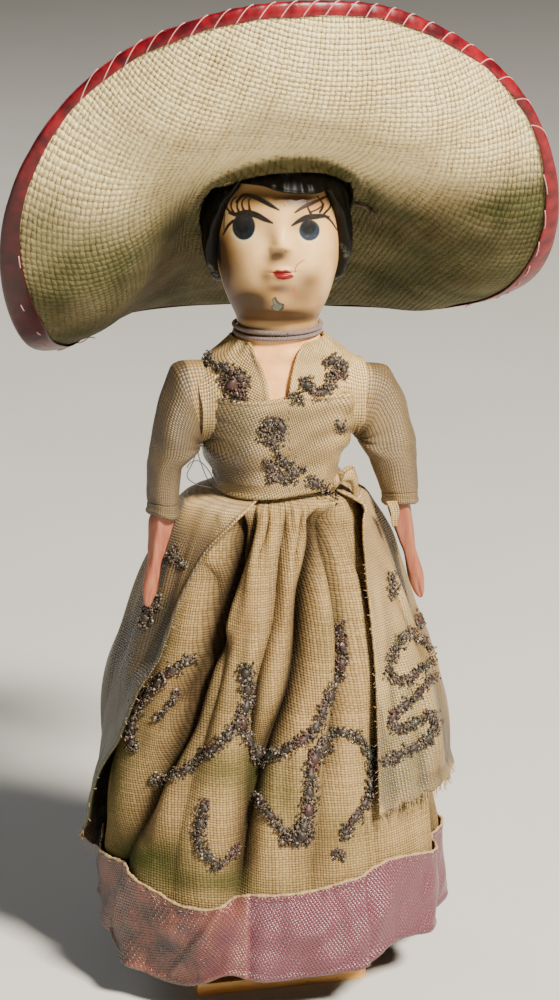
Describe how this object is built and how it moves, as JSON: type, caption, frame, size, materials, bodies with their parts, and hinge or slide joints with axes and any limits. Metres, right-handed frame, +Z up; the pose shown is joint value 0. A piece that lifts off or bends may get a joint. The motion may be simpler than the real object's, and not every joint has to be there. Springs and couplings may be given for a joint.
{
  "type": "costume doll",
  "caption": "Standing costume doll on a thin board, with a wide turned-up hat, gathered gauze skirt, open satin overskirt, and a head and arms that turn.",
  "frame": {"origin": "on the underside of the board, under the doll's axis", "axes": "+Z up, -Y the way the trunk faces, +X the doll's own left"},
  "size_m": [0.106, 0.0845, 0.1948],
  "materials": {
    "wood": "bare, worn",
    "trunk_wood": "painted",
    "limb_wood": "painted, satin",
    "head_paint": "painted, satin",
    "hair_paint": "painted, gloss",
    "nail": "dull",
    "hat_weave": "coarse plain weave",
    "binding": "glossy tape",
    "brown_thread": "thread",
    "black_thread": "thread",
    "cord": "twisted cord",
    "satin": "worn satin",
    "sleeve_cloth": "fine plain weave",
    "gauze": "coarse gauze",
    "ribbon": "satin ribbon"
  },
  "bodies": {
    "trunk": {"base_board": "wood", "right_leg": "limb_wood", "right_leg_nail": "nail", "left_leg": "limb_wood", "left_leg_nail": "nail", "torso": "trunk_wood", "neck_dowel": "wood", "right_shoulder_nail": "nail", "left_shoulder_nail": "nail", "right_shoulder_strap": "satin", "left_shoulder_strap": "satin", "gauze_skirt": "gauze", "hem_ribbon": "ribbon", "overskirt": "satin", "waist_thread": "black_thread", "bodice_wrap": "satin", "necklace_lower": "cord", "necklace_upper": "cord"},
    "head": {"head": "head_paint", "hair": "hair_paint", "hat_crown": "hat_weave", "hat_brim": "hat_weave", "brim_binding": "binding", "hat_tie": "brown_thread"},
    "right_arm": {"right_arm": "limb_wood", "right_sleeve": "sleeve_cloth"},
    "left_arm": {"left_arm": "limb_wood", "left_sleeve": "sleeve_cloth"}
  },
  "joints": [
    {"name": "neck", "type": "hinge", "parent": "trunk", "child": "head", "pos_m": [0, 0, 0.1294], "axis": [0, 0, 1], "range_deg": [-35, 55]},
    {"name": "right_shoulder", "type": "hinge", "parent": "trunk", "child": "right_arm", "pos_m": [-0.0185, 0, 0.115], "axis": [-1, 0, 0], "range_deg": [0, 90]},
    {"name": "left_shoulder", "type": "hinge", "parent": "trunk", "child": "left_arm", "pos_m": [0.0185, 0, 0.115], "axis": [-1, 0, 0], "range_deg": [0, 90]}
  ]
}
